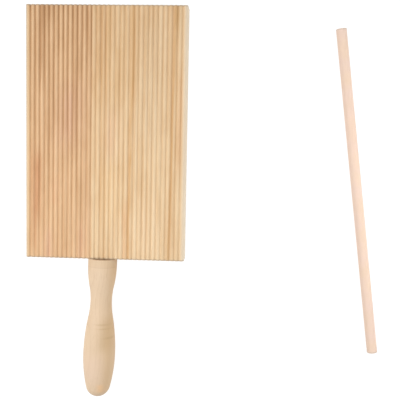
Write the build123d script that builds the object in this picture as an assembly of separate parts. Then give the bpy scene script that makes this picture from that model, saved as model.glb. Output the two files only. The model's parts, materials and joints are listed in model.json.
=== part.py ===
from build123d import *
import os
from math import acos, asin, atan2, cos, degrees, hypot, radians, sin

# Gnocchi board: a ridged board glued up from two staves, a turned handle held by
# a glued pin, and a loose rolling stick that lies beside it on the table.
# Millimetres. +Z is up from the table, +Y runs from the handle to the far end of
# the board, +X points from the board to the stick. The origin is on the table,
# at the centre of the set's footprint.

# Board
board_width = 125.0
board_length = 196.0
board_thickness = 15.0
edge_ease = 0.5            # chamfer sanded round the plain back
ridge_count = 34
left_stave_ridges = 14     # the glue line lies in the valley after this ridge
ridge_height = 1.15        # valley floor to crest
crest_radius = 1.2
valley_width = 0.4

# Handle, measured along its own axis from the end of the board
handle_length = 113.0
seat_diameter = 22.8
seat_land = 6.0            # straight collar against the board
seat_ease = 0.8            # 45 degree rim of the collar
neck_diameter = 17.0
neck_at = 34.5
belly_diameter = 25.4
belly_at = 78.5
nose_radius = 9.7          # round end, centred on the axis
tip_flat = 3.0             # spot left at the end where the wood was parted off
handle_offset = 2.6        # the seat sits this far left of the board's middle
handle_lean = 1.7          # degrees, the round end leans left

# Where the side turns from hollow to full, as a share of the way between the ends
waist_turn_share = 0.6     # from the collar to the neck
rise_turn_share = 0.3      # from the neck to the belly

# Hidden pin that joins handle and board
pin_diameter = 8.0
pin_length = 50.0          # half in the board, half in the handle
pin_chamfer = 0.8
flute_count = 8
flute_radius = 0.45
glue_film = 0.05           # room for glue round the pin
pin_end_gap = 1.0          # air past each end of the pin

# Rolling stick
stick_diameter = 8.0
stick_length = 255.5
stick_ease = 0.4
stick_gap = 117.0          # from the board's right edge to the stick's far end
stick_set_back = 14.4      # from the board's far end to the stick's far end
stick_angle = 7.8          # degrees, its near end lies further to the right

# Cutting tools run this far past the wood
overrun = 2.0
tilt_trials = 3

ridge_pitch = board_width / ridge_count
left_edge = -board_width / 2
near_end = -board_length / 2
mid_height = board_thickness / 2
valley_height = board_thickness - ridge_height
lean = radians(handle_lean)
along = (1, 0)             # the way a turned outline runs, level with its axis
back_along = (-1, 0)


def ridge_points(crest):
    """Left foot, left touch, crest, right touch and right foot of one ridge."""
    foot = (ridge_pitch - valley_width) / 2
    crest_centre = ridge_height - crest_radius
    # the flank runs from the foot and touches the crest circle at this angle
    reach = hypot(foot, crest_centre)
    touch = atan2(-crest_centre, foot) + acos(crest_radius / reach)
    touch_out = crest_radius * cos(touch)
    touch_up = valley_height + crest_centre + crest_radius * sin(touch)
    left_side = [(crest - foot, valley_height), (crest - touch_out, touch_up)]
    right_side = [(crest + touch_out, touch_up), (crest + foot, valley_height)]
    return [*left_side, (crest, board_thickness), *right_side]


def ridged_side(left, right, ridges):
    """The moulded side of a stave's section, valley floors and ridges from left to right."""
    outline = []
    last_foot = (left, valley_height)
    for ridge in range(ridges):
        crest = left + (ridge + 0.5) * ridge_pitch
        left_foot, left_touch, top, right_touch, right_foot = ridge_points(crest)
        outline.append(Polyline(last_foot, left_foot, left_touch))
        outline.append(ThreePointArc(left_touch, top, right_touch))
        outline.append(Line(right_touch, right_foot))
        last_foot = right_foot
    outline.append(Line(last_foot, (right, valley_height)))
    return outline


def stave(first_ridge, ridges, ease_left, ease_right):
    """A stave as one moulded section, run to full length, with its back arrises eased."""
    left = left_edge + first_ridge * ridge_pitch
    right = left + ridges * ridge_pitch
    back = [(right, valley_height), (right, ease_right)]
    if ease_right:
        back.append((right - ease_right, 0))
    if ease_left:
        back.append((left + ease_left, 0))
    back += [(left, ease_left), (left, valley_height)]
    section = make_face([*ridged_side(left, right, ridges), Polyline(*back)])
    section_plane = Plane(origin=(0, near_end, 0), x_dir=(1, 0, 0), z_dir=(0, -1, 0))
    blank = extrude(section_plane * section, amount=-board_length)
    end_arrises = blank.edges().filter_by(Axis.X).group_by(Axis.Z)[0]
    return chamfer(end_arrises, edge_ease)


def seat_plane():
    """Where handle and board meet, with Z along the handle's axis, away from the board."""
    away = (-sin(lean), -cos(lean), 0)
    return Plane(origin=(-handle_offset, near_end, mid_height), x_dir=(0, 0, 1), z_dir=away)


def pin_hole(towards_handle):
    """The bore for the pin, from the seat into the handle or into the board."""
    radius = pin_diameter / 2 + glue_film
    depth = pin_length / 2 + pin_end_gap
    bore = Cylinder(radius, depth + overrun, align=(Align.CENTER, Align.CENTER, Align.MIN))
    bore = Pos(0, 0, -overrun) * bore
    if not towards_handle:
        bore = Rot(180, 0, 0) * bore
    return seat_plane() * bore


def stave_left():
    return stave(0, left_stave_ridges, edge_ease, 0)


def stave_right():
    wood = stave(left_stave_ridges, ridge_count - left_stave_ridges, 0, edge_ease)
    return wood - pin_hole(towards_handle=False)


def s_curve(start, end, turn_share):
    """Two arcs, level at both ends, that meet on the straight line between the ends."""
    turn = tuple(a + turn_share * (b - a) for a, b in zip(start, end))
    first = TangentArc(start, turn, tangent=along)
    second = TangentArc(end, turn, tangent=back_along)
    return [first, second]


def handle_profile():
    """Half the turned outline, as (distance from the board, radius)."""
    seat_radius = seat_diameter / 2
    belly_radius = belly_diameter / 2
    # spare wood that the slanted seat cut takes off
    spare = seat_diameter * sin(lean)
    rim_start = (-spare, seat_radius - seat_ease - spare)
    rim_end = (seat_ease, seat_radius)
    collar_end = (seat_land, seat_radius)
    neck = (neck_at, neck_diameter / 2)
    belly = (belly_at, belly_radius)
    flat_rim = (handle_length, tip_flat / 2)
    nose_centre = handle_length - (nose_radius**2 - (tip_flat / 2) ** 2) ** 0.5
    # the full side is the one arc that is level at the belly and touches the nose
    reach = nose_centre - belly_at
    side_radius = (reach**2 + belly_radius**2 - nose_radius**2) / (2 * (belly_radius - nose_radius))
    out_x = reach / (side_radius - nose_radius)
    out_y = (side_radius - belly_radius) / (side_radius - nose_radius)
    join = (nose_centre + nose_radius * out_x, nose_radius * out_y)
    side = [Polyline(rim_start, rim_end, collar_end)]
    side += s_curve(collar_end, neck, waist_turn_share)
    side += s_curve(neck, belly, rise_turn_share)
    side += [TangentArc(belly, join, tangent=along)]
    side += [TangentArc(join, flat_rim, tangent=(out_y, -out_x))]
    axis_side = Polyline(flat_rim, (handle_length, 0), (-spare, 0), rim_start)
    return make_face([*side, axis_side])


def handle():
    # the profile's X becomes the handle's axis, which seat_plane() calls Z
    turned = revolve(handle_profile(), Axis.X)
    turned = Rot(0, -90, 0) * turned
    placed = seat_plane() * turned
    board_end = Plane(origin=(0, near_end, 0), z_dir=(0, -1, 0))
    seated = split(placed, bisect_by=board_end, keep=Keep.TOP)
    return seated - pin_hole(towards_handle=True)


def handle_dowel():
    radius = pin_diameter / 2
    pin = Cylinder(radius, pin_length)
    pin = chamfer(pin.edges().filter_by(GeomType.CIRCLE), pin_chamfer)
    flute = Cylinder(flute_radius, pin_length + overrun)
    for place in PolarLocations(radius, flute_count):
        pin -= place * flute
    return seat_plane() * pin


def rolling_stick():
    """The stick on the table, built from its far end towards its near end."""
    slant = radians(stick_angle)
    far_end = (board_width / 2 + stick_gap, board_length / 2 - stick_set_back, stick_diameter / 2)
    stick = Cylinder(stick_diameter / 2, stick_length, align=(Align.CENTER, Align.CENTER, Align.MIN))
    stick = chamfer(stick.edges().filter_by(GeomType.CIRCLE), stick_ease)
    return Plane(origin=far_end, x_dir=(0, 0, 1), z_dir=(sin(slant), -cos(slant), 0)) * stick


def outer_box(pieces):
    boxes = [piece.bounding_box() for piece in pieces]
    whole = boxes[0]
    for box in boxes[1:]:
        whole = whole.add(box)
    return whole


def laid_down(pieces):
    """The board as it lies on the table, on the handle's belly and its own far lower edge."""
    belly_reach = board_length - edge_ease + belly_at * cos(lean)
    slope_to_belly = asin(belly_diameter / 2 / hypot(belly_reach, mid_height))
    tilt = slope_to_belly - atan2(mid_height, belly_reach)
    # the belly's lowest point moves along it as the board tilts, so the tilt is
    # trued up until belly and far edge touch the table together
    for trial in range(tilt_trials):
        lean_back = Rot(-degrees(tilt), 0, 0)
        belly_height = (lean_back * pieces["handle"]).bounding_box().min.Z
        edge_height = (lean_back * pieces["stave_left"]).bounding_box().min.Z
        tilt += (edge_height - belly_height) / belly_reach
    tilted = {name: Rot(-degrees(tilt), 0, 0) * piece for name, piece in pieces.items()}
    lowest = outer_box(tilted.values()).min.Z
    print(f"the board lies at {degrees(tilt):.4f} degrees, raised {-lowest:.4f} mm")
    return {name: Pos(0, 0, -lowest) * piece for name, piece in tilted.items()}


board = {
    "stave_left": stave_left(),
    "stave_right": stave_right(),
    "handle": handle(),
    "handle_dowel": handle_dowel(),
}
gnocchi_board = laid_down(board)
gnocchi_board["rolling_stick"] = rolling_stick()

middle = outer_box(gnocchi_board.values()).center()
os.makedirs("parts", exist_ok=True)
for name, piece in gnocchi_board.items():
    export_step(Pos(-middle.X, -middle.Y, 0) * piece, f"parts/{name}.step")
print(f"board centre at X {-middle.X:.3f}, Y {-middle.Y:.3f}")
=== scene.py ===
import json
import math

import bpy
import numpy as np
from mathutils import Matrix


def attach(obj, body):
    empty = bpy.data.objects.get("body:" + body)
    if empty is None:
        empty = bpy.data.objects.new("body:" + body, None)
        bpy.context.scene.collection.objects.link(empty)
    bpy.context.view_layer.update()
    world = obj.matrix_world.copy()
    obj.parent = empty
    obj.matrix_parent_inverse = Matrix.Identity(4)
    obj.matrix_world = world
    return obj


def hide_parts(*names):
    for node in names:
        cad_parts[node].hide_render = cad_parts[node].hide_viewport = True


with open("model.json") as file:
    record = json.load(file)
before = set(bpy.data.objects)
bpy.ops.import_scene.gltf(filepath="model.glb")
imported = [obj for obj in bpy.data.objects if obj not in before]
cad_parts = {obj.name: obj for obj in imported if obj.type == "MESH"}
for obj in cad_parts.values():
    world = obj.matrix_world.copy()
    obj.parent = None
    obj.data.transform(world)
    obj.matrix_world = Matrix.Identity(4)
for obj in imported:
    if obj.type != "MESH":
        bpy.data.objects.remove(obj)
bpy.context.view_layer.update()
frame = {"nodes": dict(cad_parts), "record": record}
scene = bpy.context.scene
mounts = {mount["name"]: mount for mount in frame["record"]["mounts"]}
mm = 0.001
print("frame loaded:", ", ".join(sorted(frame["nodes"])))


# Meshes. A piece is a stack of closed rings, each ring an array of points.

sharpAngle = math.radians(35)  # an edge that turns by more than this stays sharp


def placed(points, place):
    # local points, of any array shape that ends in 3, into the frame
    turn = np.array(place.to_3x3())
    return points @ turn.T + np.array(place.translation)


def meshPiece(name, points, faces, body, node, slot, material):
    # faces is a list of index arrays, each with 3 or 4 corners a row
    mesh = bpy.data.meshes.new(name)
    loops = np.concatenate([block.ravel() for block in faces])
    sizes = np.concatenate([np.full(len(block), block.shape[1]) for block in faces])
    starts = np.concatenate([[0], np.cumsum(sizes)[:-1]])
    mesh.vertices.add(len(points))
    mesh.vertices.foreach_set("co", points.astype(np.float32).ravel())
    mesh.loops.add(len(loops))
    mesh.loops.foreach_set("vertex_index", loops.astype(np.int32))
    mesh.polygons.add(len(sizes))
    mesh.polygons.foreach_set("loop_start", starts.astype(np.int32))
    mesh.update(calc_edges=True)
    mesh.validate()
    mesh.shade_smooth()
    mesh.set_sharp_from_angle(angle=sharpAngle)
    mesh.materials.append(material)
    piece = bpy.data.objects.new(name, mesh)
    scene.collection.objects.link(piece)
    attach(piece, body)
    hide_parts(node)
    return piece


def ringFaces(ringCount, around):
    # quads between each ring and the next, wrapped round the ring
    ring = np.arange(ringCount - 1)[:, None] * around
    step = np.arange(around)[None, :]
    after = (step + 1) % around
    corners = [ring + step, ring + after, ring + around + after, ring + around + step]
    return np.stack(corners, -1).reshape(-1, 4)


def turnedPoints(along, radius, place, around, slant=0.0, slantShare=None):
    # surface of revolution: (r cos t, -s, r sin t). Where slantShare is 1 the ring lies in the
    # plane that the board's end cuts, which shifts s by -r cos(t) tan(slant)
    angle = np.linspace(0, 2 * math.pi, around, endpoint=False)[None, :]
    s, r = along[:, None], radius[:, None]
    share = np.zeros_like(s) if slantShare is None else slantShare[:, None]
    s = s - share * r * np.cos(angle) * math.tan(slant)
    return placed(np.stack([r * np.cos(angle), -s, r * np.sin(angle)], -1), place)


def turnedPiece(name, along, radius, place, around, slant=0.0, slantShare=None, **finish):
    # the first and last places lie on the axis and become one point each
    rings = turnedPoints(along, radius, place, around, slant, slantShare)
    body = rings[1:-1].reshape(-1, 3)
    points = np.concatenate([body, rings[0, :1], rings[-1, :1]])
    firstPole, lastPole = len(body), len(body) + 1
    step = np.arange(around)
    after = (step + 1) % around
    lastRing = (len(along) - 3) * around
    firstFan = np.stack([np.full(around, firstPole), after, step], -1)
    lastFan = np.stack([lastRing + step, lastRing + after, np.full(around, lastPole)], -1)
    return meshPiece(name, points, [ringFaces(len(along) - 2, around), firstFan, lastFan], **finish)


# Node helpers

def addNode(tree, kind, inputs=None, **settings):
    made = tree.nodes.new("ShaderNode" + kind)
    for name, value in settings.items():
        setattr(made, name, value)
    for name, value in (inputs or {}).items():
        feed(tree, made.inputs[name], value)
    return made


def feed(tree, socket, value):
    if isinstance(value, bpy.types.NodeSocket):
        tree.links.new(value, socket)
    else:
        socket.default_value = value


def calc(tree, operation, first, second=None, third=None):
    made = addNode(tree, "Math", operation=operation)
    for socket, value in zip(made.inputs, (first, second, third)):
        if value is not None:
            feed(tree, socket, value)
    return made.outputs[0]


def rampValue(tree, value, fromLow, fromHigh, toLow=0.0, toHigh=1.0, smooth=True):
    limits = {"From Min": fromLow, "From Max": fromHigh, "To Min": toLow, "To Max": toHigh}
    made = addNode(tree, "MapRange", limits)
    made.interpolation_type = "SMOOTHSTEP" if smooth else "LINEAR"
    feed(tree, made.inputs["Value"], value)
    return made.outputs[0]


def mixColour(tree, share, first, second):
    made = addNode(tree, "Mix", data_type="RGBA")
    for index, value in ((0, share), (6, first), (7, second)):
        feed(tree, made.inputs[index], value)
    return made.outputs[2]


def tint(tree, colour, mask, share, towards):
    # the colour moved towards another, by mask times share
    return mixColour(tree, calc(tree, "MULTIPLY", mask, share), colour, towards)


def stretchedNoise(tree, vector, scale, detail, roughness=0.5):
    # noise with its own scale on each axis, in cells per metre
    drawn = addNode(tree, "VectorMath", {0: vector, 1: scale}, operation="MULTIPLY")
    values = {"Vector": drawn.outputs[0], "Scale": 1.0, "Detail": detail, "Roughness": roughness}
    return addNode(tree, "TexNoise", values).outputs["Fac"]


def rgb(red, green, blue):
    return (red, green, blue, 1.0)


def newGroup(name, inputs, outputs):
    group = bpy.data.node_groups.new(name, "ShaderNodeTree")
    for socketName, kind, value in inputs:
        socket = group.interface.new_socket(socketName, in_out="INPUT", socket_type="NodeSocket" + kind)
        if value is not None:
            socket.default_value = value
    for socketName, kind in outputs:
        group.interface.new_socket(socketName, in_out="OUTPUT", socket_type="NodeSocket" + kind)
    entry = group.nodes.new("NodeGroupInput")
    leave = group.nodes.new("NodeGroupOutput")
    return group, entry.outputs, leave.inputs


def useGroup(tree, group, **values):
    made = tree.nodes.new("ShaderNodeGroup")
    made.node_tree = group
    for name, value in values.items():
        feed(tree, made.inputs[name], value)
    return made.outputs


# Effects shared by the woods

ringShape = {
    "bendScale": (30.0, 6.0, 30.0),  # slow noise that bends the shells
    "yearScale": 0.6,                # noise that makes rings wider and narrower, in cells per ring
    "yearShift": 2.0,                # how strongly it moves them, in rings
    "lateRise": 3.0,                 # power of the slow change from early to late wood
    "lateEnds": 0.93,                # share of a ring at which its late wood breaks off
}


def growthRingsGroup():
    # shells round a pith line that leans in the wood: distance from the pith, bent by slow noise,
    # divided by the ring width. Each ring darkens slowly outwards and ends sharply
    group, given, out = newGroup(
        "growthRings",
        [("Vector", "Vector", None), ("pithX", "Float", 0.0), ("pithZ", "Float", 0.0),
         ("lean", "Float", 0.0), ("ringWidth", "Float", 4 * mm), ("wander", "Float", 2 * mm)],
        [("late", "Float"), ("tone", "Float")],
    )
    axes = addNode(group, "SeparateXYZ", {"Vector": given["Vector"]}).outputs
    bend = stretchedNoise(group, given["Vector"], ringShape["bendScale"], detail=2.0)
    bent = calc(group, "MULTIPLY", calc(group, "SUBTRACT", bend, 0.5), given["wander"])
    leaned = calc(group, "MULTIPLY", axes["Y"], given["lean"])
    x = calc(group, "SUBTRACT", calc(group, "SUBTRACT", axes["X"], leaned), given["pithX"])
    x = calc(group, "ADD", x, bent)
    z = calc(group, "SUBTRACT", axes["Z"], given["pithZ"])
    square = calc(group, "ADD", calc(group, "MULTIPLY", x, x), calc(group, "MULTIPLY", z, z))
    count = calc(group, "DIVIDE", calc(group, "SQRT", square), given["ringWidth"])
    yearNoise = {"W": count, "Scale": ringShape["yearScale"], "Detail": 1.0}
    years = addNode(group, "TexNoise", yearNoise, noise_dimensions="1D").outputs["Fac"]
    shift = calc(group, "MULTIPLY", calc(group, "SUBTRACT", years, 0.5), ringShape["yearShift"])
    count = calc(group, "ADD", count, shift)
    part = calc(group, "FRACT", count)
    rise = calc(group, "POWER", part, ringShape["lateRise"])
    drop = rampValue(group, part, ringShape["lateEnds"], 1.0, 1.0, 0.0)
    feed(group, out["late"], calc(group, "MULTIPLY", rise, drop))
    year = addNode(group, "TexWhiteNoise", {"W": calc(group, "FLOOR", count)}, noise_dimensions="1D")
    feed(group, out["tone"], year.outputs["Value"])
    return group


fibreShape = {
    "tickOffset": (7.3, 2.1, 4.7),   # keeps the ticks apart from the streaks
    "tickScale": 0.55,
    "tickFrom": 0.6,                 # noise values at which a tick starts and is full
    "tickFull": 0.74,
}


def fibreGroup():
    # noise drawn out along Y: fine fibres, and short darker ticks where their cells are cut open
    group, given, out = newGroup(
        "fibre",
        [("Vector", "Vector", None), ("fineness", "Float", 2500.0), ("stretch", "Float", 60.0)],
        [("streak", "Float"), ("ticks", "Float")],
    )
    fineness = given["fineness"]
    lengthwise = calc(group, "DIVIDE", fineness, given["stretch"])
    scale = addNode(group, "CombineXYZ", {"X": fineness, "Y": lengthwise, "Z": fineness}).outputs[0]
    streak = stretchedNoise(group, given["Vector"], scale, detail=4.0, roughness=0.6)
    feed(group, out["streak"], streak)
    drawn = addNode(group, "VectorMath", {0: given["Vector"], 1: scale}, operation="MULTIPLY")
    apart = {0: drawn.outputs[0], 1: fibreShape["tickOffset"]}
    moved = addNode(group, "VectorMath", apart, operation="ADD").outputs[0]
    tickNoise = {"Vector": moved, "Scale": fibreShape["tickScale"], "Detail": 1.0, "Roughness": 0.4}
    spots = addNode(group, "TexNoise", tickNoise).outputs["Fac"]
    feed(group, out["ticks"], rampValue(group, spots, fibreShape["tickFrom"], fibreShape["tickFull"]))
    return group


streakShape = {
    "bendScale": (8.0, 20.0, 8.0),
    "wobble": 1.6 * mm,              # how strongly a streak wanders from its line
}


def streakGroup():
    # one streak along the grain, for the wood's figure and for painted light and shade: a bell curve across X
    # that leans with Y, wanders a little, and fades in and out at its two ends
    group, given, out = newGroup(
        "colourStreak",
        [("Vector", "Vector", None), ("x", "Float", 0.0), ("lean", "Float", 0.0),
         ("width", "Float", 1 * mm), ("fromY", "Float", -100 * mm), ("toY", "Float", 100 * mm),
         ("fade", "Float", 10 * mm)],
        [("mask", "Float")],
    )
    axes = addNode(group, "SeparateXYZ", {"Vector": given["Vector"]}).outputs
    bend = stretchedNoise(group, given["Vector"], streakShape["bendScale"], detail=2.0)
    wobble = calc(group, "MULTIPLY", calc(group, "SUBTRACT", bend, 0.5), streakShape["wobble"])
    centre = calc(group, "MULTIPLY_ADD", axes["Y"], given["lean"], given["x"])
    centre = calc(group, "ADD", centre, wobble)
    away = calc(group, "DIVIDE", calc(group, "SUBTRACT", axes["X"], centre), given["width"])
    bell = calc(group, "EXPONENT", calc(group, "MULTIPLY", calc(group, "MULTIPLY", away, away), -1.0))
    fullFrom = calc(group, "ADD", given["fromY"], given["fade"])
    fullTo = calc(group, "SUBTRACT", given["toY"], given["fade"])
    start = rampValue(group, axes["Y"], given["fromY"], fullFrom)
    end = rampValue(group, axes["Y"], fullTo, given["toY"], 1.0, 0.0)
    feed(group, out["mask"], calc(group, "MULTIPLY", bell, calc(group, "MULTIPLY", start, end)))
    return group


def blotchGroup():
    # broad uneven tone, drawn out along the grain, from 0 to 1 about a half
    group, given, out = newGroup(
        "blotch",
        [("Vector", "Vector", None), ("across", "Float", 120.0), ("lengthwise", "Float", 25.0)],
        [("tone", "Float")],
    )
    across = given["across"]
    scale = addNode(group, "CombineXYZ", {"X": across, "Y": given["lengthwise"], "Z": across}).outputs[0]
    noise = stretchedNoise(group, given["Vector"], scale, detail=3.0, roughness=0.55)
    feed(group, out["tone"], rampValue(group, noise, 0.3, 0.7))
    return group


growthRings = growthRingsGroup()
fibre = fibreGroup()
colourStreak = streakGroup()
blotch = blotchGroup()


def woodRings(tree, local, wood):
    values = {key: wood[key] for key in ("pithX", "pithZ", "lean", "ringWidth", "wander")}
    return useGroup(tree, growthRings, Vector=local, **values)


def patchMask(tree, local, patch):
    values = {key: patch[key] for key in ("x", "lean", "width", "fromY", "toY", "fade")}
    return useGroup(tree, colourStreak, Vector=local, **values)["mask"]


def woodMaterial(name, place):
    # an empty material with its shader, and coordinates that follow the piece: X across, Y along the grain
    material = bpy.data.materials.new(name)
    material.use_nodes = True
    tree = material.node_tree
    tree.nodes.clear()
    shader = addNode(tree, "BsdfPrincipled")
    leave = addNode(tree, "OutputMaterial")
    tree.links.new(shader.outputs[0], leave.inputs["Surface"])
    coords = addNode(tree, "TexCoord")
    mapping = addNode(tree, "Mapping", {"Vector": coords.outputs["Object"]}, vector_type="TEXTURE")
    mapping.inputs["Location"].default_value = place.translation
    mapping.inputs["Rotation"].default_value = place.to_euler()
    return material, tree, shader, mapping.outputs[0]


def finishWood(tree, shader, colour, streak, height, finish):
    # the fibres vary the roughness and stand out as a fine relief
    low, high = finish["roughness"]
    feed(tree, shader.inputs["Base Color"], colour)
    feed(tree, shader.inputs["Roughness"], rampValue(tree, streak, 0.2, 0.8, low, high, smooth=False))
    shader.inputs["Specular IOR Level"].default_value = finish["specular"]
    relief = {"Strength": finish["relief"], "Distance": finish["reliefDepth"], "Height": height}
    tree.links.new(addNode(tree, "Bump", relief).outputs[0], shader.inputs["Normal"])


print("shared wood effects made")


# The board. Its own axes: X right, Y to the far end, Z up from its back, origin in the middle of its back.

board = {
    "width": 125.0 * mm,
    "length": 196.0 * mm,
    "thickness": 15.0 * mm,
    "ridges": 34,
    "leftRidges": 14,
    "ridgeHeight": 1.15 * mm,
    "crestRadius": 1.2 * mm,
    "valleyWidth": 0.4 * mm,
    "footSoftness": 0.08 * mm,  # the cutter's worn corner at the foot of a ridge
    "backEase": 0.5 * mm,
    "arris": 0.2 * mm,          # the top's end edges and side edges, softened by sanding
    "crestWear": 0.05 * mm,     # the most that a crest is worn down
    "wearLevels": (0.1, 0.6),   # each crest's own wear lies between these shares of it
    "wearSwing": 0.13,          # and each of three waves along the crest changes it by this share
    "wearWaves": (35.0, 90.0, 210.0),  # in radians per metre
    "wearSeeds": (11, 12),      # left and right stave
    "closeUpShare": 0.1,        # how tightly the back's points close up beside an eased edge
    "stations": 84,             # rings along the length
    "endSteps": 5,              # rings round each end edge
}
backMount = mounts["board_back"]
boardTilt = math.asin(-backMount["axis"][1])
boardPlace = Matrix.Translation(backMount["pos_m"]) @ Matrix.Rotation(-boardTilt, 4, "X")
ridgePitch = board["width"] / board["ridges"]
glueX = board["leftRidges"] * ridgePitch - board["width"] / 2

# where the points across one ridge lie, from its left valley on, as shares of the ridge pitch
halfRidgeShares = np.array([0.1, 0.19, 0.26, 0.33, 0.40, 0.44, 0.47])
ridgeShares = np.concatenate([[-0.5], -halfRidgeShares[::-1], [0], halfRidgeShares])


def ridgeHeightAt(away):
    # away is the distance from the crest line. A circle over the crest, a straight flank that
    # touches it, and a soft change into the valley floor
    radius, height = board["crestRadius"], board["ridgeHeight"]
    foot = (ridgePitch - board["valleyWidth"]) / 2
    centre = height - radius
    touch = math.atan2(-centre, foot) + math.acos(radius / math.hypot(foot, centre))
    touchOut, touchUp = radius * math.cos(touch), centre + radius * math.sin(touch)
    crest = centre + np.sqrt(np.maximum(radius**2 - away**2, 0))
    flank = touchUp * (foot - away) / (foot - touchOut)
    edge = np.where(away < touchOut, crest, flank)
    soft = (edge + np.sqrt(edge**2 + board["footSoftness"] ** 2)) / 2
    return np.minimum(soft, height)


def staveSection(firstRidge, ridges, leftOuter, rightOuter):
    # top points from left to right, the back's points under them, and each top point's ridge height
    left = -board["width"] / 2 + firstRidge * ridgePitch
    right = left + ridges * ridgePitch
    crests = left + (np.arange(ridges)[:, None] + 0.5) * ridgePitch
    x = np.append((crests + ridgeShares * ridgePitch).ravel(), right)
    ridge = np.append(np.repeat(np.arange(ridges), len(ridgeShares)), ridges - 1)
    rise = ridgeHeightAt(np.abs(x - (left + (ridge + 0.5) * ridgePitch)))
    valley = board["thickness"] - board["ridgeHeight"]
    top = np.stack([x, valley + rise], -1)
    back = np.stack([x, np.zeros_like(x)], -1)
    ease, arris = board["backEase"], board["arris"]
    for outer, end, inward in ((leftOuter, 0, 1), (rightOuter, -1, -1)):
        if outer:
            # the back's outermost points close up beside the eased edge, in their own order
            away = np.abs(x - x[end])
            back[:, 0] = x[end] + inward * np.maximum(away, ease + away * board["closeUpShare"])
            back[end] = x[end], ease
            # the top's outermost point sinks by the arris, and the next one rounds the corner
            top[end, 1] -= arris
            top[end + inward, 0] = top[end, 0] + inward * arris / 3
            top[end + inward, 1] = valley - arris / 3
    return top, back, ridge, rise


def staveRings(firstRidge, ridges, leftOuter, rightOuter, seed):
    # the section's outline run along Y, with rounded end edges and worn crests
    top, back, ridge, rise = staveSection(firstRidge, ridges, leftOuter, rightOuter)
    loop = np.concatenate([top, back[::-1]])
    tangent = np.roll(loop, -1, 0) - np.roll(loop, 1, 0)
    outward = np.stack([-tangent[:, 1], tangent[:, 0]], -1)
    # at the glue line the section shrinks up and down alone, so that the two staves stay in touch
    outward[np.isclose(loop[:, 0], glueX), 0] = 0
    outward /= np.linalg.norm(outward, axis=1, keepdims=True)
    # quarter circles at both ends, small along the top and wider along the back, straight between them
    turn = np.linspace(0, math.pi / 2, board["endSteps"])[:, None]
    half, ease = board["length"] / 2, board["backEase"]
    rounding = np.where(np.arange(len(loop)) < len(top), board["arris"], ease)
    middle = np.linspace(ease - half, half - ease, board["stations"])[1:-1, None] + np.zeros(len(loop))
    nearY, nearInset = rounding * (1 - np.cos(turn)) - half, rounding * (1 - np.sin(turn))
    y = np.concatenate([nearY, middle, -nearY[::-1]])
    inset = np.concatenate([nearInset, np.zeros_like(middle), nearInset[::-1]])
    # each crest is worn down a little, unevenly along it
    rng = np.random.default_rng(seed)
    waves = np.array(board["wearWaves"])
    phase = rng.uniform(0, 2 * math.pi, (ridges, 1, len(waves)))
    level = rng.uniform(*board["wearLevels"], (ridges, 1))
    wear = level + board["wearSwing"] * np.sin(y[None, :, :1] * waves + phase).sum(-1)
    wear = np.clip(wear, 0, 1) * board["crestWear"]
    lowered = wear[ridge].T * (rise / board["ridgeHeight"]) ** 2
    x = loop[None, :, 0] - inset * outward[None, :, 0]
    z = loop[None, :, 1] - inset * outward[None, :, 1]
    z[:, : len(top)] -= lowered
    return np.stack([x, y, z], -1), len(top)


def stave(name, node, firstRidge, ridges, leftOuter, rightOuter, seed, slot, material):
    rings, across = staveRings(firstRidge, ridges, leftOuter, rightOuter, seed)
    around = rings.shape[1]
    points = placed(rings, boardPlace).reshape(-1, 3)
    step = np.arange(across - 1)
    nearCap = np.stack([step, around - 1 - step, around - 2 - step, step + 1], -1)
    farCap = nearCap[:, ::-1] + (len(rings) - 1) * around
    faces = [ringFaces(len(rings), around), nearCap, farCap]
    return meshPiece(name, points, faces, "board", node, slot, material)


# Wood of the board

staveWood = {
    "left": {
        "early": rgb(0.80, 0.55, 0.325),
        "late": rgb(0.50, 0.275, 0.125),
        "heart": rgb(0.57, 0.33, 0.165),
        "pithX": -8 * mm, "pithZ": -60 * mm, "lean": 0.022, "ringWidth": 3.1 * mm, "wander": 12 * mm,
        "lateShare": 0.5, "blotchShare": 0.2, "farShare": 0.20, "farFrom": -30 * mm,
        # the last two: the tint of the painted light on the side edges, and how far in it reaches
        "lineShare": 0.55, "sideLightingTone": rgb(0.56, 0.47, 0.35), "sideLightingReach": 2.4 * mm,
        # the last two: how strong the painted shade in the grooves is at the far end, and its colour
        "pale": rgb(0.86, 0.62, 0.39), "grooveShadeFar": 0.85, "grooveShade": rgb(0.42, 0.225, 0.10),
    },
    "right": {
        "early": rgb(0.815, 0.635, 0.412),
        "late": rgb(0.58, 0.345, 0.15),
        "heart": rgb(0.68, 0.43, 0.225),
        "pithX": -120 * mm, "pithZ": -40 * mm, "lean": 0.016, "ringWidth": 4.3 * mm, "wander": 3 * mm,
        "lateShare": 0.55, "blotchShare": 0.14, "farShare": 0.28, "farFrom": -50 * mm,
        # the last two: the tint of the painted light on the side edges, and how far in it reaches
        "lineShare": 0.34, "sideLightingTone": rgb(0.84, 0.76, 0.62), "sideLightingReach": 4.0 * mm,
        # the last two: how strong the painted shade in the grooves is at the far end, and its colour
        "pale": rgb(0.90, 0.74, 0.51), "grooveShadeFar": 0.18, "grooveShade": rgb(0.55, 0.33, 0.145),
    },
}
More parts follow.
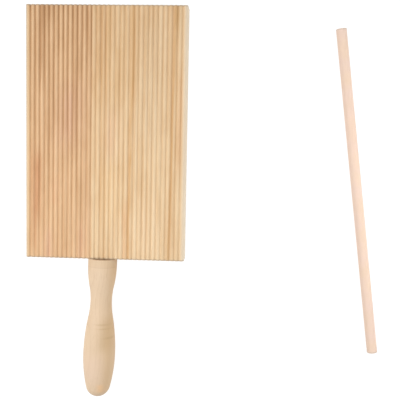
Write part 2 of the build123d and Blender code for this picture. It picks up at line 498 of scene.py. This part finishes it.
# What both staves share. Noise is given in cells per metre
staveGrain = {
    "fine": {"fineness": 2600.0, "stretch": 70.0},    # single fibres
    "coarse": {"fineness": 420.0, "stretch": 26.0},   # bundles of fibres
    "cuts": {"fineness": 1050.0, "stretch": 120.0},   # growth rings that the moulding cuts through
    "broad": {"across": 130.0, "lengthwise": 28.0},   # slow change of tone
    "fineShare": 0.16, "coarseShare": 0.22, "tickShare": 0.2,
    "patchGain": 1.25,                               # makes up for the patches being broken by fibres
    "ridgeShare": 0.26,                               # each ridge's own change of tone
    "ridgeScale": 16.0,                               # along the ridge
    "ridgeJump": 400.0,                               # from ridge to ridge, so that no two are alike
    "grooveShadeRise": 0.8 * mm,                             # how far up from the valley floor the painted groove shade reaches
    # how strongly the side edges take the painted light
    "sideLightingShare": 0.62,
    # the darker grey at the ends, partly end grain and partly painted shade along the end edges: its share,
    # where it starts and is full, and its colour
    "endGrainAndShadeShare": 0.62, "endFrom": 1.5 * mm, "endFull": 0.3 * mm, "endGrainAndShadeGrey": rgb(0.40, 0.31, 0.225),
    "roughness": (0.6, 0.78), "specular": 0.35, "relief": 0.55, "reliefDepth": 0.06 * mm,
}


def colourPatch(x, lean, width, fromY, toY, fade, share, colour):
    # one streak or patch of colour, in millimetres, seen from above: the wood's figure, and in places painted
    # light and shade
    return {"x": x * mm, "lean": lean, "width": width * mm, "fromY": fromY * mm, "toY": toY * mm,
            "fade": fade * mm, "share": share, "colour": rgb(*colour)}


# x in the middle of the board, lean, width, from and to along the board, fade, share, colour
leftPatches = [
    colourPatch(-61.0, 0.0, 3.0, -120, 120, 20, 0.42, (0.84, 0.65, 0.40)),      # painted light: the outermost ridge made paler, where its flank faces the light
    colourPatch(-51.3, 0.015, 1.3, 30, 125, 30, 0.60, (0.40, 0.19, 0.075)),     # dark line, far left
    colourPatch(-46.5, 0.010, 5.0, 70, 130, 30, 0.45, (0.45, 0.23, 0.10)),      # dark patch at the far end
    colourPatch(-29.0, 0.100, 9.5, -24, 52, 30, 0.50, (0.76, 0.475, 0.35)),     # pink patch
    colourPatch(-53.4, 0.015, 3.4, -78, -6, 22, 0.58, (0.62, 0.27, 0.13)),      # red streak, near left
    colourPatch(-54.5, 0.015, 3.0, -98, -60, 14, 0.35, (0.68, 0.34, 0.17)),
    colourPatch(-57.5, 0.010, 1.8, -60, 5, 30, 0.35, (0.66, 0.33, 0.16)),
    colourPatch(-38.0, 0.030, 3.0, -62, -28, 14, 0.30, (0.73, 0.37, 0.20)),
    colourPatch(-43.0, 0.020, 3.0, -110, -68, 14, 0.35, (0.78, 0.46, 0.36)),
    colourPatch(-16.5, 0.020, 2.4, -110, -62, 18, 0.40, (0.80, 0.47, 0.36)),
    colourPatch(-22.0, 0.030, 2.0, -45, 90, 40, 0.35, (0.50, 0.28, 0.13)),
    colourPatch(-12.5, 0.010, 3.2, -120, -30, 40, 0.35, (0.86, 0.62, 0.40)),    # paler beside the glue line
]
rightPatches = [
    colourPatch(-7.0, 0.060, 8.0, 0, 140, 50, 0.62, (0.60, 0.355, 0.17)),       # heartwood past the glue line
    colourPatch(6.0, 0.030, 9.0, -10, 140, 60, 0.38, (0.66, 0.44, 0.225)),
    colourPatch(-4.0, 0.0, 9.0, -95, 70, 40, 0.42, (0.75, 0.53, 0.31)),
    colourPatch(1.2, 0.010, 1.3, 25, 120, 30, 0.35, (0.90, 0.66, 0.38)),
    colourPatch(19.8, 0.0153, 1.5, -115, 115, 8, 0.62, (0.60, 0.31, 0.095)),    # two orange-brown growth rings
    colourPatch(51.6, 0.0128, 1.4, -115, 115, 8, 0.55, (0.60, 0.32, 0.11)),
    colourPatch(16.5, 0.012, 1.6, -115, -45, 20, 0.45, (0.74, 0.37, 0.17)),
    colourPatch(35.0, 0.020, 9.5, -25, 110, 40, 0.50, (0.74, 0.595, 0.41)),     # pale band
    colourPatch(33.0, 0.030, 10.0, -125, -35, 40, 0.60, (0.90, 0.71, 0.48)),
    colourPatch(5.0, 0.050, 5.5, -30, 30, 25, 0.40, (0.85, 0.60, 0.43)),
    colourPatch(5.5, 0.020, 7.0, -80, -12, 25, 0.40, (0.86, 0.60, 0.32)),
    colourPatch(54.5, 0.010, 2.0, 60, 130, 30, 0.55, (0.50, 0.30, 0.11)),
    colourPatch(57.5, 0.012, 1.8, -40, 55, 30, 0.40, (0.80, 0.47, 0.27)),
]


def staveMaterial(name, wood, patches):
    material, tree, shader, local = woodMaterial(name, boardPlace)
    width, half = board["width"], board["length"] / 2
    axes = addNode(tree, "SeparateXYZ", {"Vector": local}).outputs
    rings = woodRings(tree, local, wood)
    fine = useGroup(tree, fibre, Vector=local, **staveGrain["fine"])
    coarse = useGroup(tree, fibre, Vector=local, **staveGrain["coarse"])
    cuts = useGroup(tree, fibre, Vector=local, **staveGrain["cuts"])
    broad = useGroup(tree, blotch, Vector=local, **staveGrain["broad"])
    yearTone = rampValue(tree, rings["tone"], 0, 1, 0.3, 1.0, smooth=False)
    late = calc(tree, "MULTIPLY", rings["late"], yearTone)
    colour = tint(tree, wood["early"], broad["tone"], wood["blotchShare"], wood["heart"])
    # darker towards the far end
    far = rampValue(tree, axes["Y"], wood["farFrom"], half, 0.0, wood["farShare"])
    colour = mixColour(tree, far, colour, wood["heart"])
    broken = rampValue(tree, coarse["streak"], 0.32, 0.62, 0.45, 1.0)
    for patch in patches:
        mask = calc(tree, "MULTIPLY", patchMask(tree, local, patch), broken)
        colour = tint(tree, colour, mask, patch["share"] * staveGrain["patchGain"], patch["colour"])
    colour = tint(tree, colour, late, wood["lateShare"], wood["late"])
    bundles = rampValue(tree, coarse["streak"], 0.34, 0.66, 0.0, staveGrain["coarseShare"], smooth=False)
    colour = mixColour(tree, bundles, colour, wood["late"])
    # thin broken lines where the moulding cuts through single growth rings
    lines = rampValue(tree, cuts["streak"], 0.5, 0.7, 0.0, wood["lineShare"])
    colour = mixColour(tree, lines, colour, wood["late"])
    fibres = rampValue(tree, fine["streak"], 0.3, 0.7, 0.0, staveGrain["fineShare"], smooth=False)
    colour = mixColour(tree, fibres, colour, wood["late"])
    colour = tint(tree, colour, fine["ticks"], staveGrain["tickShare"], wood["late"])
    # each ridge cuts the grain in its own way: noise along Y that jumps from ridge to ridge
    fromLeft = calc(tree, "ADD", axes["X"], width / 2)
    ridge = calc(tree, "FLOOR", calc(tree, "DIVIDE", fromLeft, ridgePitch))
    jump = addNode(tree, "TexWhiteNoise", {"W": ridge}, noise_dimensions="1D").outputs["Value"]
    jumped = calc(tree, "MULTIPLY", jump, staveGrain["ridgeJump"])
    along = calc(tree, "MULTIPLY", axes["Y"], staveGrain["ridgeScale"])
    place = addNode(tree, "CombineXYZ", {"X": jumped, "Y": along}).outputs[0]
    ridgeNoise = {"Vector": place, "Scale": 1.0, "Detail": 3.0, "Roughness": 0.6}
    own = addNode(tree, "TexNoise", ridgeNoise, noise_dimensions="2D").outputs["Fac"]
    darker = rampValue(tree, own, 0.5, 0.75, 0.0, staveGrain["ridgeShare"], smooth=False)
    paler = rampValue(tree, own, 0.5, 0.25, 0.0, staveGrain["ridgeShare"], smooth=False)
    colour = mixColour(tree, darker, colour, wood["late"])
    colour = mixColour(tree, paler, colour, wood["pale"])
    # painted shade in the grooves: the colour darkens towards each valley floor, more towards the far end,
    # and by each ridge's own noise
    valley = board["thickness"] - board["ridgeHeight"]
    grooveShadeShare = rampValue(tree, axes["Y"], -half, half, 0.0, wood["grooveShadeFar"], smooth=False)
    grooveShadeShare = calc(tree, "MULTIPLY", grooveShadeShare, rampValue(tree, own, 0.3, 0.7, 0.6, 1.4, smooth=False))
    groove = rampValue(tree, axes["Z"], valley, valley + staveGrain["grooveShadeRise"], 1.0, 0.0)
    colour = tint(tree, colour, groove, grooveShadeShare, wood["grooveShade"])
    # painted light on the side edges: the side faces and outermost ridges are tinted as they look where light
    # falls on them, paler on the right stave and greyer on the left
    out = calc(tree, "ABSOLUTE", axes["X"])
    side = rampValue(tree, out, width / 2 - wood["sideLightingReach"], width / 2, 0.0, staveGrain["sideLightingShare"])
    colour = mixColour(tree, side, colour, wood["sideLightingTone"])
    # the ends turn darker and greyer: partly the darker cut end fibres, partly painted shade along the end
    # edges
    out = calc(tree, "ABSOLUTE", axes["Y"])
    endFrom, endFull = half - staveGrain["endFrom"], half - staveGrain["endFull"]
    end = rampValue(tree, out, endFrom, endFull, 0.0, staveGrain["endGrainAndShadeShare"])
    colour = mixColour(tree, end, colour, staveGrain["endGrainAndShadeGrey"])
    height = calc(tree, "MULTIPLY_ADD", fine["streak"], 0.6, calc(tree, "MULTIPLY", late, 0.5))
    height = calc(tree, "SUBTRACT", height, calc(tree, "MULTIPLY", fine["ticks"], 0.3))
    finishWood(tree, shader, colour, fine["streak"], height, staveGrain)
    return material


leftWood = staveMaterial("staveLeftWood", staveWood["left"], leftPatches)
rightWood = staveMaterial("staveRightWood", staveWood["right"], rightPatches)
leftRidges, rightRidges = board["leftRidges"], board["ridges"] - board["leftRidges"]
leftSeed, rightSeed = board["wearSeeds"]
leftPiece = stave("leftStaveWood", "stave_left", 0, leftRidges, True, False, leftSeed,
                  "board_wood_left", leftWood)
rightPiece = stave("rightStaveWood", "stave_right", leftRidges, rightRidges, False, True, rightSeed,
                   "board_wood_right", rightWood)


# The handle, turned. Its own axes: -Y from the board to the round end, so its grain runs along Y too.

handle = {
    "length": 113.0 * mm,
    "seatDiameter": 22.8 * mm,
    "seatLand": 6.0 * mm,
    "rim": 0.8 * mm,             # rounded edge of the collar at the board
    "neckDiameter": 17.0 * mm,
    "neckAt": 34.5 * mm,
    "bellyDiameter": 25.4 * mm,
    "bellyAt": 78.5 * mm,
    "noseRadius": 9.7 * mm,
    "tipFlat": 3.0 * mm,
    "waistTurn": 0.6,            # where hollow turns to full, collar to neck
    "riseTurn": 0.3,             # and neck to belly
    "offset": 2.6 * mm,          # left of the board's middle
    "lean": math.radians(1.7),
    "boreDiameter": 8.1 * mm,
    "boreDepth": 26.0 * mm,
    "boreAround": 48,
    "boreOverrun": 2.0 * mm,     # the cutter starts this far outside the board
    "around": 144,
    "rimSteps": 7, "waistSteps": 26, "riseSteps": 34, "sideSteps": 30, "noseSteps": 20,
    "toolMark": 0.012 * mm,      # depth of the turning marks
    "toolSeed": 23,
}
seatAt = (-handle["offset"], -board["length"] / 2, board["thickness"] / 2)
handlePlace = boardPlace @ Matrix.Translation(seatAt) @ Matrix.Rotation(-handle["lean"], 4, "Z")


def levelArc(start, end, count):
    # arc from start to end, level at its start, as (along, radius) places. Its centre stands
    # straight over or under the start
    rise = end[1] - start[1]
    reach = ((end[0] - start[0]) ** 2 + rise**2) / (2 * rise)
    along = np.linspace(start[0], end[0], count)
    drop = np.sqrt(reach**2 - (along - start[0]) ** 2)
    return along, start[1] + reach - math.copysign(1, reach) * drop


def sCurve(start, end, share, count):
    # two arcs, level at both ends, that meet on the chord at that share of it
    turn = tuple(a + share * (b - a) for a, b in zip(start, end))
    first = levelArc(start, turn, count)
    second = levelArc(end, turn, count)
    return [np.concatenate([one[:-1], two[::-1]]) for one, two in zip(first, second)]


def handleProfile():
    # from the floor of the bore over the seat, then along the turned side to the round end
    seatRadius, belly, nose = handle["seatDiameter"] / 2, handle["bellyDiameter"] / 2, handle["noseRadius"]
    rim, bore, tip = handle["rim"], handle["boreDiameter"] / 2, handle["tipFlat"] / 2
    depth, collar = handle["boreDepth"], handle["seatLand"]
    neckPlace = (handle["neckAt"], handle["neckDiameter"] / 2)
    bellyPlace = (handle["bellyAt"], belly)
    turn = np.linspace(0, math.pi / 2, handle["rimSteps"])
    rimAlong, rimRadius = rim * (1 - np.cos(turn)), seatRadius - rim * (1 - np.sin(turn))
    waist = sCurve((collar, seatRadius), neckPlace, handle["waistTurn"], handle["waistSteps"])
    rise = sCurve(neckPlace, bellyPlace, handle["riseTurn"], handle["riseSteps"])
    # the full side is one arc, level at the belly, that touches the nose circle
    noseCentre = handle["length"] - math.sqrt(nose**2 - tip**2)
    reach = noseCentre - handle["bellyAt"]
    sideRadius = (reach**2 + belly**2 - nose**2) / (2 * (belly - nose))
    joinAngle = math.atan2(sideRadius - belly, reach)
    join = (noseCentre + nose * math.cos(joinAngle), nose * math.sin(joinAngle))
    side = levelArc(bellyPlace, join, handle["sideSteps"])
    noseTurn = np.linspace(joinAngle, math.asin(tip / nose), handle["noseSteps"])
    noseAlong, noseOut = noseCentre + nose * np.cos(noseTurn), nose * np.sin(noseTurn)
    seatAlong, seatOut = [depth, depth, 0, 0], [0, bore, bore, (bore + seatRadius) / 2]
    landAlong, landOut = [collar / 3, 2 * collar / 3], [seatRadius, seatRadius]
    along = np.concatenate([seatAlong, rimAlong, landAlong, waist[0], rise[0][1:], side[0][1:],
                            noseAlong[1:], [handle["length"]]])
    radius = np.concatenate([seatOut, rimRadius, landOut, waist[1], rise[1][1:], side[1][1:],
                             noseOut[1:], [0]])
    slantShare = np.clip(1 - along / rim, 0, 1)
    # shallow, unevenly spaced marks of the turning tool, only ever below the outline
    rng = np.random.default_rng(handle["toolSeed"])
    marks = rng.uniform(0, 1, len(along)) ** 2 * handle["toolMark"]
    outside = (along > collar) & (radius > tip)
    return along, radius - np.where(outside, marks, 0), slantShare


def band(fromY, toY, fade, share, colour):
    # a ring of colour round a turned piece, in millimetres along its own Y
    return {"fromY": fromY * mm, "toY": toY * mm, "fade": fade * mm, "share": share, "colour": rgb(*colour)}


turnedFinish = {"roughness": (0.5, 0.68), "specular": 0.25, "relief": 0.5, "reliefDepth": 0.04 * mm}


def turnedWood(name, place, wood):
    material, tree, shader, local = woodMaterial(name, place)
    blotches = {"across": wood["blotchAcross"], "lengthwise": wood["blotchLengthwise"]}
    rings = woodRings(tree, local, wood)
    fine = useGroup(tree, fibre, Vector=local, fineness=wood["fineness"], stretch=wood["stretch"])
    broad = useGroup(tree, blotch, Vector=local, **blotches)
    colour = tint(tree, wood["early"], rings["late"], wood["lateShare"], wood["late"])
    colour = tint(tree, colour, broad["tone"], wood["blotchShare"], wood["warm"])
    fibres = rampValue(tree, fine["streak"], 0.3, 0.7, 0.0, 1.0, smooth=False)
    colour = tint(tree, colour, fibres, wood["fibreShare"], wood["late"])
    colour = tint(tree, colour, fine["ticks"], wood["tickShare"], wood["late"])
    for patch in wood["patches"]:
        colour = tint(tree, colour, patchMask(tree, local, patch), patch["share"], patch["colour"])
    axes = addNode(tree, "SeparateXYZ", {"Vector": local}).outputs
    for zone in wood["bands"]:
        inside = rampValue(tree, axes["Y"], zone["fromY"], zone["fromY"] + zone["fade"])
        outside = rampValue(tree, axes["Y"], zone["toY"] - zone["fade"], zone["toY"], zone["share"], 0.0)
        colour = tint(tree, colour, inside, outside, zone["colour"])
    # marks left by the turning tool run round the piece: noise along the axis alone
    markNoise = {"W": axes["Y"], "Scale": wood["marksPerMetre"], "Detail": 2.0}
    marks = addNode(tree, "TexNoise", markNoise, noise_dimensions="1D").outputs["Fac"]
    marks = calc(tree, "MULTIPLY", marks, wood["markDepth"])
    height = calc(tree, "MULTIPLY_ADD", fine["streak"], 0.5, marks)
    height = calc(tree, "SUBTRACT", height, calc(tree, "MULTIPLY", fine["ticks"], 0.4))
    finishWood(tree, shader, colour, fine["streak"], height, turnedFinish)
    return material


handleWood = turnedWood("handleTurnedWood", handlePlace, {
    "early": rgb(0.745, 0.57, 0.40), "late": rgb(0.53, 0.36, 0.215), "warm": rgb(0.68, 0.475, 0.30),
    "pithX": 30 * mm, "pithZ": -18 * mm, "lean": 0.03, "ringWidth": 2.6 * mm, "wander": 3 * mm,
    "lateShare": 0.22, "blotchShare": 0.25, "blotchAcross": 110.0, "blotchLengthwise": 30.0,
    "fineness": 3000.0, "stretch": 35.0, "fibreShare": 0.10, "tickShare": 0.25,
    "marksPerMetre": 900.0, "markDepth": 0.5,
    "patches": [
        colourPatch(10.0, 0.05, 5.5, -78, -42, 12, 0.55, (0.54, 0.37, 0.20)),   # painted shade: darker over the belly's right side, away from the light
        # painted shade: a darker, yellower band down the whole right side of the handle
        colourPatch(11.0, 0.02, 4.5, -118, 5, 14, 0.50, (0.67, 0.45, 0.235)),
        colourPatch(3.5, 0.0, 5.0, -53.2, -50.8, 1.0, 0.34, (0.50, 0.33, 0.18)),
        colourPatch(4.5, 0.0, 4.5, -56.2, -54.4, 0.8, 0.34, (0.50, 0.33, 0.18)),
        colourPatch(9.0, 0.0, 4.5, -64.0, -61.2, 1.2, 0.32, (0.50, 0.33, 0.18)),
        colourPatch(-1.0, 0.03, 9.0, -106, -70, 14, 0.38, (0.78, 0.585, 0.46)),  # pinker belly
        colourPatch(3.6, 0.0, 2.4, -109, -99, 3, 0.45, (0.84, 0.50, 0.24)),     # orange spot by the round end
    ],
    "bands": [
        band(-6.2, 2.0, 0.4, 0.22, (0.60, 0.40, 0.22)),    # the collar, less sanded than the rest
        band(-6.9, -6.0, 0.3, 0.30, (0.52, 0.36, 0.21)),
        band(-0.35, 2.0, 0.1, 0.75, (0.22, 0.125, 0.065)), # the cut seat: its end grain darker, with painted shade in the gap between the collar and the board's end
    ],
})
profile = handleProfile()
handlePiece = turnedPiece("turnedHandle", profile[0], profile[1], handlePlace, handle["around"],
                          handle["lean"], profile[2], body="board", node="handle", slot="handle_wood",
                          material=handleWood)
print("handle:", len(handlePiece.data.polygons), "faces")


# The bore for the pin, cut into the right stave with a plain cylinder and applied

def cutBore(piece):
    turn = np.linspace(0, 2 * math.pi, handle["boreAround"], endpoint=False)
    ring = np.stack([np.cos(turn), np.zeros_like(turn), np.sin(turn)], -1) * handle["boreDiameter"] / 2
    rings = [ring + np.array([0, y, 0]) for y in (-handle["boreOverrun"], handle["boreDepth"])]
    points = placed(np.concatenate(rings), handlePlace)
    step = np.arange(handle["boreAround"])
    after = (step + 1) % handle["boreAround"]
    sides = np.stack([step, step + len(turn), after + len(turn), after], -1)
    mesh = bpy.data.meshes.new("boreCutter")
    mesh.from_pydata(points.tolist(), [], [*sides.tolist(), step.tolist(), (step[::-1] + len(turn)).tolist()])
    cutter = bpy.data.objects.new("boreCutter", mesh)
    scene.collection.objects.link(cutter)
    cut = piece.modifiers.new("bore", "BOOLEAN")
    cut.operation = "DIFFERENCE"
    cut.solver = "EXACT"
    cut.object = cutter
    bored = bpy.data.meshes.new_from_object(piece.evaluated_get(bpy.context.evaluated_depsgraph_get()))
    piece.modifiers.clear()
    whole, piece.data = piece.data, bored
    bpy.data.meshes.remove(whole)
    bored.name = piece.name
    bpy.data.objects.remove(cutter)
    bpy.data.meshes.remove(mesh)


cutBore(rightPiece)
print("staves:", len(leftPiece.data.polygons), "and", len(rightPiece.data.polygons), "faces")


# The hidden pin keeps its own fluted solid

pinWood = turnedWood("pinFlutedWood", handlePlace, {
    "early": rgb(0.64, 0.46, 0.31), "late": rgb(0.46, 0.30, 0.18), "warm": rgb(0.58, 0.39, 0.25),
    "pithX": 14 * mm, "pithZ": 9 * mm, "lean": 0.01, "ringWidth": 1.9 * mm, "wander": 1 * mm,
    "lateShare": 0.25, "blotchShare": 0.2, "blotchAcross": 150.0, "blotchLengthwise": 40.0,
    "fineness": 3200.0, "stretch": 35.0, "fibreShare": 0.12, "tickShare": 0.3,
    "marksPerMetre": 1200.0, "markDepth": 0.1, "patches": [], "bands": [],
})
for pinSlot in frame["nodes"]["handle_dowel"].material_slots:
    pinSlot.material = pinWood


# The rolling stick. Its own axes: -Y from its far end to its near end.

stick = {
    "diameter": 8.0 * mm,
    "length": 255.5 * mm,
    "ease": 0.4 * mm,
    "stations": 90,
    "around": 72,
    "uneven": 0.03 * mm,     # dowel stock is never quite round along its length
    "unevenWaves": (60.0, 140.0),  # in radians per metre
    "unevenSeed": 31,
    "edgeSteps": 6,
}
shaft = mounts["stick_shaft"]
stickPlace = Matrix.Translation(shaft["pos_m"]) @ Matrix.Rotation(math.asin(shaft["axis"][0]), 4, "Z")


def stickProfile():
    # a straight shaft with quarter-circle edges, its radius lessened by two slow waves
    half, radius, ease = stick["length"] / 2, stick["diameter"] / 2, stick["ease"]
    turn = np.linspace(0, math.pi / 2, stick["edgeSteps"])
    edgeAlong, edgeRadius = -half + ease * (1 - np.cos(turn)), radius - ease * (1 - np.sin(turn))
    shaftAlong = np.linspace(ease - half, half - ease, stick["stations"])[1:-1]
    rng = np.random.default_rng(stick["unevenSeed"])
    phase = rng.uniform(0, 2 * math.pi, 2)
    first, second = (np.sin(shaftAlong * wave + at) for wave, at in zip(stick["unevenWaves"], phase))
    hollow = 0.5 + 0.25 * (first + second)
    shaftRadius = radius - hollow * stick["uneven"]
    along = np.concatenate([[-half], edgeAlong, shaftAlong, -edgeAlong[::-1], [half]])
    return along, np.concatenate([[0], edgeRadius, shaftRadius, edgeRadius[::-1], [0]])


stickWood = turnedWood("stickPaleWood", stickPlace, {
    "early": rgb(0.87, 0.665, 0.565), "late": rgb(0.68, 0.48, 0.36), "warm": rgb(0.86, 0.655, 0.475),
    "pithX": -11 * mm, "pithZ": -16 * mm, "lean": 0.006, "ringWidth": 1.7 * mm, "wander": 1.2 * mm,
    "lateShare": 0.16, "blotchShare": 0.7, "blotchAcross": 60.0, "blotchLengthwise": 55.0,
    "fineness": 3400.0, "stretch": 60.0, "fibreShare": 0.08, "tickShare": 0.18,
    "marksPerMetre": 700.0, "markDepth": 0.08,
    "patches": [
        colourPatch(-3.6, 0.0, 1.7, -140, 140, 5, 0.45, (0.66, 0.49, 0.40)),    # painted shade: a darker band down the stick's left side
        colourPatch(1.0, 0.0, 3.0, 10, 75, 25, 0.35, (0.90, 0.66, 0.50)),
    ],
    "bands": [
        band(126.3, 130.0, 0.9, 0.40, (0.50, 0.42, 0.32)),     # sawn ends, a little grey
        band(-130.0, -126.3, 0.9, 0.40, (0.50, 0.42, 0.32)),
    ],
})
profile = stickProfile()
stickPiece = turnedPiece("paleStick", profile[0], profile[1], stickPlace, stick["around"],
                         body="rolling_stick", node="rolling_stick", slot="stick_wood",
                         material=stickWood)
print("stick:", len(stickPiece.data.polygons), "faces")


# Stage, light and camera

studio = {
    "floorSize": 5.0,
    "floorDrop": 0.1 * mm,       # just under the pieces, so that nothing flickers
    "floorGlow": 0.10,           # light that the floor itself sends to the wood
    "paper": rgb(0.91, 0.91, 0.908),
    "seenGlow": 0.93,            # to the camera it glows more and shades less, which washes shadows out
    "seenPaper": rgb(0.15, 0.15, 0.15),
    "paperRoughness": 0.9,
    "paperSpecular": 0.1,
    "ambient": 0.52,             # light from the room
    "seenRoom": 1.0,             # and how bright the room looks
    "lamps": [                   # name, place, power in watts, width and length
        ("leftLamp", (-0.40, 0.04, 0.45), 1.70, (0.22, 0.34)),
        ("topLamp", (-0.03, -0.16, 0.62), 0.45, (0.30, 0.30)),
        ("rightLamp", (0.33, 0.02, 0.20), 0.58, (0.08, 0.50)),
    ],
    "aim": (0.0, 0.0, 0.0),
}


def floor():
    half = studio["floorSize"] / 2
    corners = [(x * half, y * half, -studio["floorDrop"]) for x, y in ((-1, -1), (1, -1), (1, 1), (-1, 1))]
    mesh = bpy.data.meshes.new("paleFloor")
    mesh.from_pydata(corners, [], [(0, 1, 2, 3)])
    piece = bpy.data.objects.new("paleFloor", mesh)
    scene.collection.objects.link(piece)
    material = bpy.data.materials.new("palePaper")
    material.use_nodes = True
    tree = material.node_tree
    shader = tree.nodes["Principled BSDF"]
    seen = addNode(tree, "LightPath").outputs["Is Camera Ray"]
    glow = rampValue(tree, seen, 0, 1, studio["floorGlow"], studio["seenGlow"])
    feed(tree, shader.inputs["Base Color"], mixColour(tree, seen, studio["paper"], studio["seenPaper"]))
    shader.inputs["Emission Color"].default_value = rgb(1, 1, 1)
    feed(tree, shader.inputs["Emission Strength"], glow)
    shader.inputs["Roughness"].default_value = studio["paperRoughness"]
    shader.inputs["Specular IOR Level"].default_value = studio["paperSpecular"]
    mesh.materials.append(material)


def lamp(name, place, power, size):
    light = bpy.data.lights.new(name, "AREA")
    light.shape = "RECTANGLE"
    light.size, light.size_y = size
    light.energy = power
    piece = bpy.data.objects.new(name, light)
    piece.location = place
    away = piece.location - Matrix.Translation(studio["aim"]).translation
    piece.rotation_euler = away.to_track_quat("Z", "Y").to_euler()  # its long side lies along the set
    piece.visible_camera = False
    scene.collection.objects.link(piece)


floor()
for lampValues in studio["lamps"]:
    lamp(*lampValues)
scene.world = bpy.data.worlds.new("paleRoom")
scene.world.use_nodes = True
room = scene.world.node_tree
roomSeen = addNode(room, "LightPath").outputs["Is Camera Ray"]
roomLight = rampValue(room, roomSeen, 0, 1, studio["ambient"], studio["seenRoom"])
room.nodes["Background"].inputs["Color"].default_value = rgb(1, 1, 1)
feed(room, room.nodes["Background"].inputs["Strength"], roomLight)
scene.view_settings.view_transform = "Standard"

# The photo's view, worked out from the board's four corners: it looks down past the set's middle
view = {
    "place": (21.81 * mm, 50.66 * mm, 478.76 * mm),
    "turn": (-5.335, 3.224, 1.103),
    "lens": 54.0,
    "sensor": 36.0,
    "nearest": 10 * mm,          # nothing closer to the camera than this is drawn
}
camera = bpy.data.objects.new("camera", bpy.data.cameras.new("camera"))
camera.data.lens = view["lens"]
camera.data.sensor_width = view["sensor"]
camera.location = view["place"]
camera.rotation_euler = [math.radians(angle) for angle in view["turn"]]
camera.data.clip_start = view["nearest"]
scene.collection.objects.link(camera)
scene.camera = camera
print("floor, lamps and camera set")
